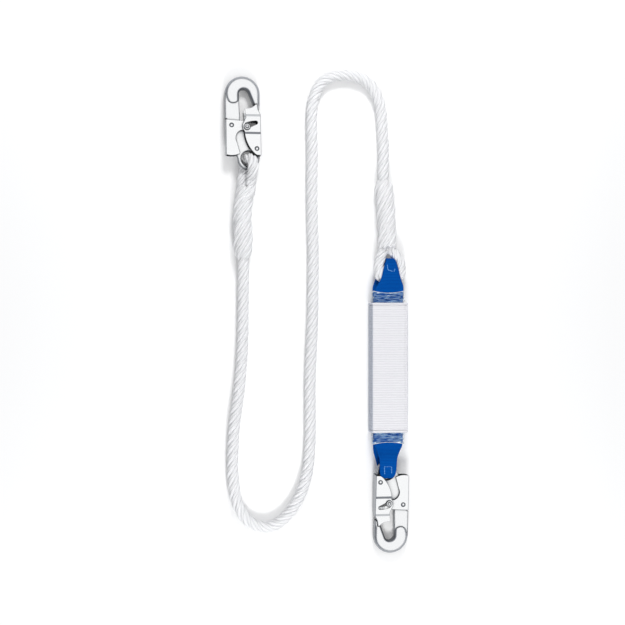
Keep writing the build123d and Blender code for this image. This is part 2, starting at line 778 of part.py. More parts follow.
os.makedirs("parts", exist_ok=True)
hook_pieces = {
    "hook_body": hook_body(), "gate": gate(), "gate_rivet": rivet(gate_pivot, cheek_out + running),
    "gate_spring": gate_spring(), "lever": lever(), "lever_rivet": rivet(lever_pivot, lever_out + running),
    "lever_spring": lock_spring(), "lock_pin": lock_pin(),
}
for hook, place in (("anchor", anchor_place), ("harness", harness_place)):
    for name, piece in hook_pieces.items():
        with BuildPart() as placed:
            with Locations(place):
                add(piece.part)
        save(placed, f"{hook}_{name}")

save(anchor_eye(), "anchor_eye")
save(link_eye(), "link_eye")
save(rope(), "rope")
save(splice(anchor_mouth, anchor_splice_end), "anchor_splice")
save(splice(link_mouth, link_splice_end), "link_splice")
save(cover(), "cover")
save(film(), "film")
save(link_loop(), "link_loop")
save(harness_loop(), "harness_loop")
save(tear_webbing(1), "upper_tear_webbing")
save(tear_webbing(-1), "lower_tear_webbing")
save(backup_strap(), "backup_strap")
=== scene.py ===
"""Shock absorbing lanyard: the looks of its rope, absorber and hooks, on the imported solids' own frame.

Shapes are worked out in millimetres and written to the meshes in metres.
"""

import math

import bmesh
import bpy
import numpy as np
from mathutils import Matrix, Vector


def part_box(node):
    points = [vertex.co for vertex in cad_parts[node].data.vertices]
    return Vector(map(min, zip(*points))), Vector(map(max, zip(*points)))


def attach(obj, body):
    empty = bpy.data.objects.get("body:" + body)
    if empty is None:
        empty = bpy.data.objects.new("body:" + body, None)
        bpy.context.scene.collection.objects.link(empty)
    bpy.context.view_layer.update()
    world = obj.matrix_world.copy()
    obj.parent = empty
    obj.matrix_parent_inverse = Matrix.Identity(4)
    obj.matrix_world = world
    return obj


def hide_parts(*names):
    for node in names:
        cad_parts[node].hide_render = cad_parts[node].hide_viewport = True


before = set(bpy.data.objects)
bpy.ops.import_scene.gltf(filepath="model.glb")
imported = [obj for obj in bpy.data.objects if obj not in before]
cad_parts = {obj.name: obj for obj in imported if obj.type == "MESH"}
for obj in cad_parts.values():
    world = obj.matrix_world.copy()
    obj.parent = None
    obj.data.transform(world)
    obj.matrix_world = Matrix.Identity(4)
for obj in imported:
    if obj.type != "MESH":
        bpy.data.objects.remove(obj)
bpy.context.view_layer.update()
METRE = 0.001  # one millimetre, in metres
UP = (0, 0, 1)


# ---------------------------------------------------------------- camera
VIEW_WIDTH = 0.8152  # metres of floor across the frame
VIEW_DISTANCE = 2.2  # metres from the camera to the point that it looks at
VIEW_LEAN = math.radians(10.5)  # the camera stands this far over towards -X
VIEW_POINT = Vector((-0.0060, 0.0053, 0.010))

camera_data = bpy.data.cameras.new("camera")
camera_data.sensor_width = 36.0
camera_data.lens = camera_data.sensor_width * VIEW_DISTANCE / VIEW_WIDTH
camera_data.clip_start, camera_data.clip_end = 0.1, 20.0
camera = bpy.data.objects.new("camera", camera_data)
bpy.context.scene.collection.objects.link(camera)
camera.location = VIEW_POINT + VIEW_DISTANCE * Vector((-math.sin(VIEW_LEAN), 0, math.cos(VIEW_LEAN)))
camera.rotation_euler = (0, -VIEW_LEAN, 0)
bpy.context.scene.camera = camera


# ---------------------------------------------------------------- materials
def linear(hex_colour):
    """sRGB hex to linear red, green, blue and alpha 1."""
    parts = np.array([int(hex_colour[i : i + 2], 16) / 255 for i in (1, 3, 5)])
    straight = np.where(parts <= 0.04045, parts / 12.92, ((parts + 0.055) / 1.055) ** 2.4)
    return (*straight.tolist(), 1.0)


def add(tree, kind, values=(), stops=(), **settings):
    """Adds a node with its properties (settings) and its inputs (values: numbers, colours or sockets).

    Stops are the (place, hex colour) pairs of a colour ramp.
    """
    made = tree.nodes.new(kind)
    for name, value in settings.items():
        setattr(made, name, value)
    for name, value in dict(values).items():
        if isinstance(value, bpy.types.NodeSocket):
            tree.links.new(value, made.inputs[name])
        else:
            made.inputs[name].default_value = value
    if stops:
        elements = made.color_ramp.elements
        while len(elements) < len(stops):
            elements.new(1.0)
        for element, (place, colour) in zip(elements, stops):
            element.position = place
            element.color = linear(colour)
    return made


def new_material(name):
    """A material with an empty tree but for its surface shader, and that tree and shader."""
    made = bpy.data.materials.new(name)
    made.use_nodes = True
    tree = made.node_tree
    tree.nodes.clear()
    shader = tree.nodes.new("ShaderNodeBsdfPrincipled")
    out = tree.nodes.new("ShaderNodeOutputMaterial")
    tree.links.new(shader.outputs["BSDF"], out.inputs["Surface"])
    return made, tree, shader


FACE_FROM, FACE_FULL = 0.86, 0.98  # a bevel turns into a face between these shares of the normal along Z
STAIN = 9.0  # size of the faint stains in the zinc
CREVICE_SHADE_REACH = 9.0  # metal with other metal this near it is darkened with painted shade


def zinc(name, face, flank, wall, roughness, grain, relief, edge):
    """Bright zinc plate on steel: coined faces are nearly white, with painted shade on bevels and walls.

    How nearly a surface lies square to the plate's thickness sets that painted shade: bevels a grey, walls
    darker, and bevels are rougher too. Edges are worn round by the edge radius, and closed-in places are
    darkened with painted shade. The grain of the gloss and its relief are in millimetres: coarse on the
    forging, fine on the rolled sheet and the headed rivets.
    """
    made, tree, shader = new_material(name)
    place = add(tree, "ShaderNodeTexCoord").outputs["Object"]
    cloud = add(tree, "ShaderNodeTexNoise", {"Vector": place, "Scale": 1 / (STAIN * METRE), "Detail": 3.0})
    fine = add(tree, "ShaderNodeTexNoise", {"Vector": place, "Scale": 1 / (grain * METRE), "Detail": 4.0})
    worn = add(tree, "ShaderNodeBevel", {"Radius": edge * METRE}, samples=8).outputs["Normal"]
    own = add(
        tree, "ShaderNodeVectorTransform", {"Vector": worn}, vector_type="NORMAL", convert_from="WORLD",
        convert_to="OBJECT",
    ).outputs["Vector"]
    normal_z = add(tree, "ShaderNodeSeparateXYZ", {"Vector": own}).outputs["Z"]
    steep = add(tree, "ShaderNodeMath", {0: normal_z}, operation="ABSOLUTE").outputs[0]
    stain_and_side_shade = add(tree, "ShaderNodeMapRange", {
        "Value": cloud.outputs["Fac"], "From Min": 0.3, "From Max": 0.7, "To Min": -0.012, "To Max": 0.0,
    }).outputs["Result"]
    tone_at = add(tree, "ShaderNodeMath", {0: steep, 1: stain_and_side_shade}, operation="ADD").outputs[0]
    # painted shade: the colour greys on bevels and darkens on walls as a surface turns away from facing along
    # Z; the stain noise varies it at random
    facing_shade_and_stain = add(tree, "ShaderNodeValToRGB", {"Fac": tone_at}, stops=[
        (0.1, wall), (0.6, flank), (FACE_FROM, flank), (FACE_FULL, face),
    ]).outputs["Color"]
    # painted shade: ambient occlusion darkens the colour near other metal, nearly to black in slots and gaps
    open_share = add(
        tree, "ShaderNodeAmbientOcclusion", {"Distance": CREVICE_SHADE_REACH * METRE}, samples=12
    ).outputs["AO"]
    painted_crevice_shade = add(tree, "ShaderNodeValToRGB", {"Fac": open_share}, stops=[
        (0.34, "#050607"), (0.6, "#7E8084"), (0.88, "#FFFFFF"),
    ]).outputs["Color"]
    colour = add(tree, "ShaderNodeVectorMath", {0: facing_shade_and_stain, 1: painted_crevice_shade}, operation="MULTIPLY").outputs[0]
    dull = add(tree, "ShaderNodeMapRange", {
        "Value": steep, "From Min": FACE_FROM, "From Max": FACE_FULL, "To Min": roughness * 1.9,
        "To Max": roughness,
    }).outputs["Result"]
    gloss = add(tree, "ShaderNodeMapRange", {
        "Value": fine.outputs["Fac"], "From Min": 0.3, "From Max": 0.7, "To Min": 0.75, "To Max": 1.3,
    }).outputs["Result"]
    rough = add(tree, "ShaderNodeMath", {0: dull, 1: gloss}, operation="MULTIPLY").outputs[0]
    bump = add(tree, "ShaderNodeBump", {
        "Height": fine.outputs["Fac"], "Normal": worn, "Strength": 0.35, "Distance": relief * METRE,
    })
    tree.links.new(colour, shader.inputs["Base Color"])
    tree.links.new(rough, shader.inputs["Roughness"])
    tree.links.new(bump.outputs["Normal"], shader.inputs["Normal"])
    shader.inputs["Metallic"].default_value = 1.0
    return made


FIBRES = 2.2  # tufts of loose fibre to the millimetre


def yarn_cloth(name, high, low, pitch_u, pitch_v, relief, roughness=0.75, sheen=0.3, twist=0.0, girth=0.0,
               side=""):
    """Woven or laid yarn on a UV map in millimetres: ridges pitch_u apart across and pitch_v apart along.

    Ridges are pale and the valleys between them dark, a painted shade. A twist turns the yarns out of the
    long direction.
    A girth is a strand's way round: painted shade darkens its inner half, where strands meet, and the groove
    of its outer yarns.
    A side is the colour that walls square to X are multiplied by: a bluish painted shade.
    """
    made, tree, shader = new_material(name)
    place = add(tree, "ShaderNodeTexCoord").outputs["UV"]
    turned = add(tree, "ShaderNodeMapping", {"Vector": place, "Rotation": (0, 0, twist)}).outputs["Vector"]
    split = add(tree, "ShaderNodeSeparateXYZ", {"Vector": turned})
    waves = []
    for socket, pitch in (("X", pitch_u), ("Y", pitch_v)):
        if pitch:
            angle = add(
                tree, "ShaderNodeMath", {0: split.outputs[socket], 1: math.pi / pitch}, operation="MULTIPLY"
            )
            wave = add(tree, "ShaderNodeMath", {0: angle.outputs[0]}, operation="SINE")
            waves.append(add(tree, "ShaderNodeMath", {0: wave.outputs[0]}, operation="ABSOLUTE").outputs[0])
    height = waves[0]
    if len(waves) > 1:
        height = add(tree, "ShaderNodeMath", {0: waves[0], 1: waves[1]}, operation="MULTIPLY").outputs[0]
    fibre = add(tree, "ShaderNodeTexNoise", {"Vector": place, "Scale": FIBRES, "Detail": 3.0})
    mixed = add(
        tree, "ShaderNodeMath", {0: fibre.outputs["Fac"], 1: 0.35, 2: height}, operation="MULTIPLY_ADD"
    ).outputs[0]
    # painted shade: the valleys between ridges take the low colour; fibre noise varies the tone at random
    colour = add(
        tree, "ShaderNodeValToRGB", {"Fac": mixed}, stops=[(0.1, low), (0.75, high)]
    ).outputs["Color"]
    # painted shade: darker on each strand's inner half, where it meets the others, and in the groove of its
    # outer yarns
    if girth:
        way_round = add(tree, "ShaderNodeSeparateXYZ", {"Vector": place}).outputs["X"]
        angle = add(
            tree, "ShaderNodeMath", {0: way_round, 1: 2 * math.pi / girth}, operation="MULTIPLY"
        ).outputs[0]
        facing = add(tree, "ShaderNodeMath", {0: angle}, operation="COSINE").outputs[0]
        inner_half_shade = add(tree, "ShaderNodeMapRange", {
            "Value": facing, "From Min": -0.1, "From Max": 0.5, "To Min": 0.82, "To Max": 1.0,
        }).outputs["Result"]
        groove = add(tree, "ShaderNodeMapRange", {
            "Value": facing, "From Min": 0.93, "From Max": 1.0, "To Min": 1.0, "To Max": 0.84,
        }).outputs["Result"]
        painted_valley_shade = add(tree, "ShaderNodeMath", {0: inner_half_shade, 1: groove}, operation="MULTIPLY").outputs[0]
        grey = add(tree, "ShaderNodeCombineXYZ", {"X": painted_valley_shade, "Y": painted_valley_shade, "Z": painted_valley_shade}).outputs[0]
        colour = add(tree, "ShaderNodeVectorMath", {0: colour, 1: grey}, operation="MULTIPLY").outputs[0]
    # painted shade: walls standing square to X are multiplied by the side colour
    if side:
        normal = add(tree, "ShaderNodeTexCoord").outputs["Normal"]
        normal_x = add(tree, "ShaderNodeSeparateXYZ", {"Vector": normal}).outputs["X"]
        square = add(tree, "ShaderNodeMath", {0: normal_x}, operation="ABSOLUTE").outputs[0]
        stain_and_side_shade = add(
            tree, "ShaderNodeValToRGB", {"Fac": square}, stops=[(0.5, "#FFFFFF"), (0.85, side)]
        ).outputs["Color"]
        colour = add(tree, "ShaderNodeVectorMath", {0: colour, 1: stain_and_side_shade}, operation="MULTIPLY").outputs[0]
    bump = add(tree, "ShaderNodeBump", {"Height": mixed, "Strength": 0.7, "Distance": relief * METRE})
    tree.links.new(colour, shader.inputs["Base Color"])
    tree.links.new(bump.outputs["Normal"], shader.inputs["Normal"])
    shader.inputs["Roughness"].default_value = roughness
    shader.inputs["Sheen Weight"].default_value = sheen
    shader.inputs["Specular IOR Level"].default_value = 0.06
    return made


def shrunk_vinyl(first_end, last_end):
    """Clear shrunk PVC: a faint pale haze, with a painted white highlight along its cut ends and painted
    glints on creases.

    The ends are where it was cut, as values of the UV map's long direction. Creases are about 8 mm long
    across the sleeve and 2.5 mm apart along it.
    """
    made, tree, shader = new_material("shrunk_vinyl")
    place = add(tree, "ShaderNodeTexCoord").outputs["UV"]
    drawn = add(tree, "ShaderNodeMapping", {"Vector": place, "Scale": (0.09, 0.3, 1)}).outputs["Vector"]
    crease = add(tree, "ShaderNodeTexNoise", {
        "Vector": drawn, "Scale": 1.3, "Detail": 1.6, "Distortion": 0.3,
    }).outputs["Fac"]
    along = add(tree, "ShaderNodeSeparateXYZ", {"Vector": place}).outputs["Y"]
    middle, half = (first_end + last_end) / 2, abs(first_end - last_end) / 2
    off_middle = add(tree, "ShaderNodeMath", {0: along, 1: middle}, operation="SUBTRACT").outputs[0]
    reach = add(tree, "ShaderNodeMath", {0: off_middle}, operation="ABSOLUTE").outputs[0]
    # painted highlight: white and more opaque along the cut ends and on the crests of the crease noise
    cut = add(
        tree, "ShaderNodeMapRange", {"Value": reach, "From Min": half - 1.0, "From Max": half - 0.5}
    ).outputs["Result"]
    painted_glint = add(
        tree, "ShaderNodeMapRange", {"Value": crease, "From Min": 0.65, "From Max": 0.71}
    ).outputs["Result"]
    white = add(tree, "ShaderNodeMath", {0: cut, 1: painted_glint}, operation="MAXIMUM").outputs[0]
    haze = add(tree, "ShaderNodeMapRange", {
        "Value": crease, "From Min": 0.4, "From Max": 0.62, "To Min": 0.0, "To Max": 0.26,
    }).outputs["Result"]
    opacity = add(tree, "ShaderNodeMath", {0: white, 1: 0.6, 2: haze}, operation="MULTIPLY_ADD").outputs[0]
    colour = add(
        tree, "ShaderNodeValToRGB", {"Fac": white}, stops=[(0.0, "#B9DDF7"), (1.0, "#FBFDFF")]
    ).outputs["Color"]
    tree.links.new(colour, shader.inputs["Base Color"])
    tree.links.new(opacity, shader.inputs["Alpha"])
    shader.inputs["Roughness"].default_value = 0.14
    shader.inputs["IOR"].default_value = 1.53
    return made


# Hot forged carbon steel, bright zinc plated: nearly white where it was coined flat, duller with a grey
# painted shade on its wide worn bevels and a darker one on its walls, with a soft mottled gloss from the
# scale under the plating.
FORGED_ZINC = zinc(
    "bright_zinc_forging", "#F6F7F8", "#B2B5BA", "#85888D", roughness=0.18, grain=0.9, relief=0.04, edge=3.0
)
# Rolled and folded sheet steel, bright zinc plated: smoother and a little whiter, with crisp folds.
SHEET_ZINC = zinc(
    "bright_zinc_sheet", "#F8F9FA", "#A8ABB0", "#8E9196", roughness=0.14, grain=0.5, relief=0.015, edge=0.5
)
# Turned and headed rivet steel, bright zinc plated: small bright heads, ringed by a darker painted shade
# where they slope.
RIVET_ZINC = zinc(
    "bright_zinc_rivet", "#F4F5F6", "#8A8D92", "#6E7176", roughness=0.12, grain=0.4, relief=0.02, edge=0.5
)
# Drawn and coiled spring wire, left bare: a dark grey with an even dull gloss.
SPRING_WIRE = zinc(
    "drawn_spring_wire", "#8E9196", "#7A7D82", "#66696E", roughness=0.28, grain=0.3, relief=0.02, edge=0.3
)
# Laid polyamide rope: a clean white with a slight silky sheen, and a grey painted shade where strands meet
# and between yarns. Its yarns are 1.9 mm across here, coarser than the real yarn, which wouldn't show.
ROPE_YARN = yarn_cloth(
    "laid_polyamide", "#FAFAFB", "#D8DADE", 1.9, 0, relief=0.35, roughness=0.62, sheen=0.2,
    twist=math.radians(12), girth=7.0 * math.pi,
)
# Woven polyester tape with a rib every 3.1 mm: a matt, slightly lilac white, with a bluish painted shade on
# its side walls.
COVER_RIB = yarn_cloth(
    "ribbed_polyester", "#EFEEF2", "#D6D6DA", 1.1, 3.1, relief=0.12, roughness=0.7, sheen=0.3, side="#CED5E0"
)
# Dyed polyester webbing: an even royal blue, as dull as cloth, with a darker painted shade between its picks.
ROYAL_WEB = yarn_cloth(
    "royal_blue_webbing", "#005AB6", "#002F76", 1.6, 1.9, relief=0.3, roughness=0.62, sheen=0.0
)
# Tear webbing: the same dyed yarn in a coarser weave.
TEAR_WEB = yarn_cloth(
    "royal_blue_tear_webbing", "#0059B4", "#003078", 2.2, 1.4, relief=0.3, roughness=0.62, sheen=0.0
)
# Bonded sewing thread: pale blue and a little glossy, in raised stitches.
PALE_THREAD = yarn_cloth(
    "pale_blue_thread", "#78B4EA", "#4A8AD0", 0.5, 0, relief=0.1, roughness=0.5, sheen=0.1
)


# ---------------------------------------------------------------- mesh making
def mesh_grid(rings, across, along, closed):
    """Vertices, quads and corner UVs (across, along) of rings of points, an array (rings, points, 3).

    Every ring is closed, and where closed is true the last ring joins the first. across holds a value
    for each point and one more for the seam, and along one for each ring and one more where closed.
    """
    count, points = rings.shape[:2]
    ring, point = np.meshgrid(np.arange(count if closed else count - 1), np.arange(points), indexing="ij")
    next_ring, next_point = (ring + 1) % count, (point + 1) % points
    quads = np.stack([
        ring * points + point, ring * points + next_point, next_ring * points + next_point,
        next_ring * points + point,
    ], -1).reshape(-1, 4)
    uv = np.stack([
        np.stack([across[point], along[ring]], -1), np.stack([across[point + 1], along[ring]], -1),
        np.stack([across[point + 1], along[ring + 1]], -1), np.stack([across[point], along[ring + 1]], -1),
    ], 2).reshape(-1, 2)
    return rings.reshape(-1, 3), quads.tolist(), uv


def skin(rings, across, along):
    """Closed skin through rings of points, with a fan from its middle to close each end."""
    count, points = rings.shape[:2]
    vertices, faces, uv = mesh_grid(rings, across, along, closed=False)
    turn = np.arange(points)
    uv = [uv]
    for first, middle, place in ((0, count * points, 0), ((count - 1) * points, count * points + 1, -1)):
        faces += np.stack([first + turn, first + (turn + 1) % points, np.full(points, middle)], -1).tolist()
        level = np.full(points, along[place])
        corners = [across[turn], level, across[turn + 1], level, across[turn], level]
        uv.append(np.stack(corners, -1).reshape(-1, 2))
    return np.concatenate([vertices, rings[[0, -1]].mean(axis=1)]), faces, np.concatenate(uv)


def piece(name, skins, material, slot, *nodes, body="lanyard"):
    """Joins skins into one mesh object that rides on a body and stands for CAD nodes."""
    vertices, faces, uv, start = [], [], [], 0
    for points, polygons, corners in skins:
        vertices.append(points)
        faces += [[index + start for index in polygon] for polygon in polygons]
        uv.append(corners)
        start += len(points)
    mesh = bpy.data.meshes.new(name)
    mesh.from_pydata((np.concatenate(vertices) * METRE).tolist(), [], faces)
    mesh.uv_layers.new(name="UVMap").data.foreach_set("uv", np.concatenate(uv).astype(np.float32).ravel())
    shell = bmesh.new()
    shell.from_mesh(mesh)
    bmesh.ops.recalc_face_normals(shell, faces=shell.faces)
    shell.to_mesh(mesh)
    shell.free()
    mesh.polygons.foreach_set("use_smooth", np.ones(len(mesh.polygons), bool))
    mesh.materials.append(material)
    made = bpy.data.objects.new(name, mesh)
    bpy.context.scene.collection.objects.link(made)
    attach(made, body)
    if nodes:
        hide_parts(*nodes)
    return made


def distances(line):
    """How far along a line each of its points is."""
    return np.concatenate([[0], np.cumsum(np.linalg.norm(np.diff(line, axis=0), axis=1))])


def unit(vectors):
    """Each vector, made one long."""
    return vectors / np.linalg.norm(vectors, axis=-1, keepdims=True)


def signed_power(values, power):
    """The size of each value to a power, with its sign kept."""
    return np.sign(values) * np.abs(values) ** power


def axes_along(line, reference):
    """For each point of a line: its direction, the reference made square to it, and the cross product."""
    ahead = unit(np.gradient(line, axis=0))
    reference = np.broadcast_to(np.asarray(reference, float), line.shape)
    first = unit(reference - (reference * ahead).sum(1)[:, None] * ahead)
    return ahead, first, np.cross(ahead, first)


def spline_line(points, resolution):
    """Points of a NURBS spline with these control points, in millimetres."""
    curve = bpy.data.curves.new("route", "CURVE")
    curve.dimensions = "3D"
    curve.resolution_u = resolution
    spline = curve.splines.new("NURBS")
    spline.points.add(len(points) - 1)
    for point, place in zip(spline.points, points):
        point.co = (*(value * METRE for value in place), 1.0)
    spline.order_u = 3
    spline.use_endpoint_u = True
    holder = bpy.data.objects.new("route", curve)
    mesh = bpy.data.meshes.new_from_object(holder)
    line = np.zeros(len(mesh.vertices) * 3, np.float32)
    mesh.vertices.foreach_get("co", line)
    bpy.data.objects.remove(holder)
    bpy.data.curves.remove(curve)
    bpy.data.meshes.remove(mesh)
    return line.reshape(-1, 3).astype(float) / METRE


# ---------------------------------------------------------------- rope
STRANDS = 4
LAY = 53.6  # one turn of a strand, along the rope
STRAND_OUT = 3.5  # half thickness of a strand, away from the rope's middle
STRAND_WIDE = 3.5  # and round it
STRAND_CENTRE = 4.5  # from the rope's middle to a strand's
STRAND_POINTS = 20
GROOVE = 0.24  # depth of the groove between a strand's two outer yarns, as a share of its half thickness
GROOVE_WIDE = 0.34  # and its half width, in radians round the strand
ROUND = np.linspace(0, 2 * math.pi, STRAND_POINTS, endpoint=False)
FROM_OUTSIDE = (ROUND + math.pi) % (2 * math.pi) - math.pi
OUT_SHARE = np.cos(ROUND) * (1 - GROOVE * np.exp(-((FROM_OUTSIDE / GROOVE_WIDE) ** 2)))


def strand(line, reference, phase, centre, out, wide):
    """Skin of one strand that winds round a line.

    Its middle is at centre times (cos phase, sin phase) in the plane square to the line, and its
    section is an ellipse with a shallow outer groove, out away from the line and wide round it, square
    to its own direction.
    """
    _, first, second = axes_along(line, reference)
    away = np.cos(phase)[:, None] * first + np.sin(phase)[:, None] * second
    middle = line + np.broadcast_to(centre, phase.shape)[:, None] * away
    _, away, beside = axes_along(middle, away)
    out, wide = (np.broadcast_to(size, phase.shape)[:, None, None] for size in (out, wide))
    rings = middle[:, None] + out * OUT_SHARE[None, :, None] * away[:, None]
    rings = rings + wide * np.sin(ROUND)[None, :, None] * beside[:, None]
    girth = np.linspace(0, 2 * math.pi * STRAND_OUT, STRAND_POINTS + 1)
    return skin(rings, girth, distances(middle))


def laid(line, reference, phase_start, size=1.0):
    """The rope's strands, laid right-handed round a line."""
    turn = phase_start + 2 * math.pi * distances(line) / (LAY * size)
    return [
        strand(line, reference, turn + index * 2 * math.pi / STRANDS, STRAND_CENTRE * size,
               STRAND_OUT * size, STRAND_WIDE * size)
        for index in range(STRANDS)
    ]


SPLICE_HEIGHT = 10.6  # of the rope's middle where it leaves a splice
NEXT_HEIGHT = 8.6
FLOOR_HEIGHT = 8.0
route = [
    (-97.2, 75.8), (-96.9, 51.0), (-97.3, 13.3), (-97.5, -25.7), (-99.2, -61.0),
    (-102.8, -100.2), (-108.6, -136.6), (-111.0, -175.2), (-110.7, -213.7),
    (-104.2, -248.3), (-84.8, -271.7), (-55.3, -274.2), (-28.2, -247.4),
    (-12.7, -209.0), (-9.0, -171.2), (-8.7, -129.6), (-9.4, -90.6), (-7.7, -47.7),
    (-5.4, -3.5), (-5.1, 40.7), (-4.5, 84.9), (-6.2, 130.4), (-6.6, 173.3),
    (-5.9, 214.9), (-7.2, 253.9), (-6.2, 282.3), (7.2, 310.3), (37.0, 318.2),
    (68.4, 310.4), (84.6, 283.2), (87.2, 251.5), (89.5, 214.9), (88.1, 178.4),
]
heights = [SPLICE_HEIGHT, NEXT_HEIGHT] + [FLOOR_HEIGHT] * (len(route) - 4) + [NEXT_HEIGHT, SPLICE_HEIGHT]
rope_line = spline_line([(x, y, z) for (x, y), z in zip(route, heights)], 26)
rope_length = distances(rope_line)[-1]
rope = piece("laid_rope", laid(rope_line, UP, 0.0), ROPE_YARN, "white_rope", "rope")


# ---------------------------------------------------------------- splices and eyes of the rope
SPLICE_LAY = 88.0  # one turn of a strand, along the thick part of a splice
CROSSING_PITCH = 17.0  # along the splice, from one change-over to the next
WEAVE = 0.75  # neighbours change over by this much out and in
RAISE = 4.3  # the strands lie this much further out than in the bare rope
THICKER = 0.3
PRESSED = 0.2  # and are this much narrower, with twice as many side by side
FULLNESS = 0.05
TAIL_START = 1.0  # the tucked tails are cut off this far from the bare rope
TAIL_TAPER = 6.0  # and are thinned over this length
SWELL_RUN = 13.0  # the splice grows to its full thickness over this length


def splice(name, axis_points, phase_start, node):
    """Eye splice: the rope's strands go on, opened out by as many tucked strands between them.

    All turn the same way round, and more slowly as the splice thickens: the phase is the running sum of
    2 pi / lay. Neighbours are out in turn, at radius r + a cos(pi q) and r - a cos(pi q), with q counting
    the places where they change over. All radii are fuller by a share of sin(pi s) sin(1.7 pi s + 0.6),
    where s runs from 0 at the bare rope to 1 at the eye.
    """
    line = spline_line(axis_points, 44)
    run = distances(line)
    share = run / run[-1]
    swell = np.sin(math.pi * np.clip(run / SWELL_RUN, 0, 1) / 2)
    full = 1 + FULLNESS * np.sin(math.pi * share) * np.sin(1.7 * math.pi * share + 0.6)
    pace = 1 / LAY + (1 / SPLICE_LAY - 1 / LAY) * swell
    turned = np.concatenate([[0], np.cumsum((pace[1:] + pace[:-1]) / 2 * np.diff(run))])
    turn = phase_start + 2 * math.pi * turned
    tail = run >= TAIL_START
    taper = np.clip((run[tail] - TAIL_START) / TAIL_TAPER, 0, 1)
    fat = 0.5 + 0.5 * np.sin(taper * math.pi / 2)
    made = []
    for index in range(STRANDS):
        shift = index * 2 * math.pi / STRANDS
        weave = WEAVE * swell * np.cos(math.pi * run / CROSSING_PITCH + index * math.pi / 2)
        made.append(strand(
            line, UP, turn + shift, (STRAND_CENTRE + RAISE * swell + weave) * full,
            STRAND_OUT + THICKER * swell, STRAND_WIDE - PRESSED * swell,
        ))
        made.append(strand(
            line[tail], UP, (turn + shift + math.pi / STRANDS)[tail],
            ((STRAND_CENTRE + RAISE * swell - weave) * full)[tail],
            (STRAND_OUT + THICKER) * fat, (STRAND_WIDE - PRESSED) * fat,
        ))
    return piece(name, made, ROPE_YARN, "white_rope", node)


anchor_end, anchor_crotch = (*route[0], SPLICE_HEIGHT), (-93.6, 167.0, 14.6)
anchor_axis = [anchor_end, (-98.0, 92.0, 15.2), (-99.3, 126.0, 15.4), (-98.0, 150.0, 15.2), anchor_crotch]
link_end, link_crotch = (*route[-1], SPLICE_HEIGHT), (93.2, 91.5, 14.2)
link_axis = [link_end, (89.3, 160.0, 15.2), (91.4, 126.0, 15.4), (92.7, 108.0, 15.0), link_crotch]
rope_turn = 2 * math.pi * rope_length / LAY
anchor_splice = splice("anchor_eye_splice", anchor_axis, 0.0, "anchor_splice")
link_splice = splice("absorber_eye_splice", link_axis, rope_turn, "link_splice")

EYE_SIZE = 0.92  # the rope is squeezed to this share of its thickness in its eyes


def eye(name, mouth, leg_in, leg_apart, turn, reference, phase_start, node):
    """Rope eye: out of one side of its splice's mouth, round the turn, and in at the other side."""
    line = spline_line([mouth + leg_in - leg_apart, *turn, mouth + leg_in + leg_apart], 20)
    return piece(name, laid(line, reference, phase_start, EYE_SIZE), ROPE_YARN, "white_rope", node)


BEND = 12.2  # the rope's middle turns round the bar of a hook's eye at this radius
EYE_LEAN = math.radians(20.0)  # the turn round the bar leans over towards +X
bar = np.array([-91.3, 191.512, 17.968])
over_bar = np.array([math.sin(EYE_LEAN), 0, math.cos(EYE_LEAN)]) * BEND
across_bar = (math.cos(EYE_LEAN), 0, -math.sin(EYE_LEAN))
anchor_mouth, anchor_apart = np.array(anchor_crotch), np.array([4.9, 0, 2.2])
anchor_turn = [
    anchor_mouth - anchor_apart * 1.1 + (0, 9, -1.5), bar - over_bar + (0, -4, 0.7),
    bar - over_bar + (0, BEND, 0.7), bar + over_bar + (0, BEND, 0), bar + over_bar - (0, 4, 0),
    anchor_mouth + anchor_apart * 1.1 + (0, 9, 1.5),
]
anchor_eye = eye(
    "anchor_rope_eye", anchor_mouth, np.array([-0.83, -8.96, -0.29]), anchor_apart, anchor_turn, across_bar,
    0.4, "anchor_eye",
)

LINK_EYE_HEIGHT = 13.5
link_turn = [(x, y, LINK_EYE_HEIGHT) for x, y in (
    (88.5, 89.5), (84.6, 79.0), (81.6, 68.0), (82.8, 57.5), (84.0, 50.6),
    (110.0, 50.6), (110.9, 57.5), (111.6, 69.0), (104.6, 81.0), (96.2, 89.5),
)]
link_eye = eye(
    "absorber_rope_eye", np.array(link_crotch), np.array([-0.95, 8.95, -0.3]), np.array([4.4, 0, 0]),
    link_turn, UP, 0.2, "link_eye",
)


# ---------------------------------------------------------------- absorber's cover and film
def rounded_frame(points, half_wide, half_high, power):
    """Superellipse |x/a|^p + |z/b|^p = 1 as evenly spaced points, and its length."""
    angle = np.linspace(0, 2 * math.pi, 4001)
    outline = np.stack([
        half_wide * signed_power(np.cos(angle), 2 / power), half_high * signed_power(np.sin(angle), 2 / power)
    ], -1)
    along = distances(outline)
    even = np.linspace(0, along[-1], points, endpoint=False)
    return np.stack([np.interp(even, along, outline[:, axis]) for axis in (0, 1)], -1), along[-1]


def box_mm(node):
    """Lowest and highest corner of a node in millimetres."""
    return [np.array(corner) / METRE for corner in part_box(node)]


pack_low, pack_high = box_mm("cover")
PACK_SHIFT = 1.4  # the soft pack lies this far from the solids' place, towards -X and +Y
PACK_X, PACK_MID = (pack_low + pack_high)[[0, 2]] / 2 - [PACK_SHIFT, 0]
PACK_WIDTH, PACK_LENGTH, PACK_HEIGHT = pack_high - pack_low
PACK_TOP = pack_high[1] + PACK_SHIFT
PACK_END = PACK_TOP - PACK_LENGTH
FULL_SIDE = 2.8  # the woven cover bulges this much at each side
RIB_PITCH = 3.1
RIB_RISE = 0.42
HEM = 3.4
HEM_RISE = 1.35
HEM_ROOT, RIB_ROOT = 1.1, 0.25  # hems and ribs start this far inside the outline
LINING = 1.6  # the sleeve's inner wall lies this far inside it
LINING_SHORT = 0.4
LINING_ROWS = 24
SELVEDGE = 3.3  # the cover's fold shows this far from its right edge
SELVEDGE_DEEP, SELVEDGE_WIDE = 0.9, 0.7


